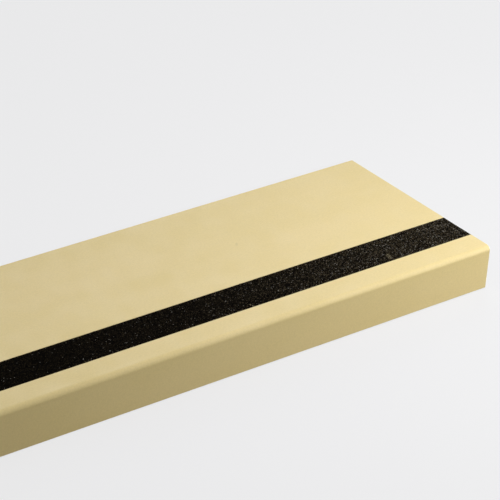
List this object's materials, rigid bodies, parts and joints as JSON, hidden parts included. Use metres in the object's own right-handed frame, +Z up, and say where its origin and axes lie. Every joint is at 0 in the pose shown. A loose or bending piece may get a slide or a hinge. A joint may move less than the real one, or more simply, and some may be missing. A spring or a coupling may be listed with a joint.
{
  "type": "rubber stair tread",
  "caption": "Smooth rubber stair tread with a rounded square nose, a turned-down lip that covers the front of a step, and a black grit strip let in along the nose.",
  "frame": {"origin": "centre of the bounding box's bottom face, on the floor that the tread lies on", "axes": "+X along the nose, to the right as one faces the nose; +Y from the nose to the rear edge; +Z up. The tread lies unheld on its lip's foot and its rear edge, so its top slopes down to the rear by 11.6 degrees and its underside by 11.1 degrees"},
  "size_m": [0.914, 0.2668, 0.055],
  "materials": {
    "moulded_rubber": "smooth moulded rubber, butter cream, satin matt, solid colour all through",
    "black_grit": "black mineral grit bound in black resin, rough and dull, with small glints"
  },
  "bodies": {
    "root": {"tread": "moulded_rubber", "grit_strip": "black_grit"}
  },
  "joints": []
}
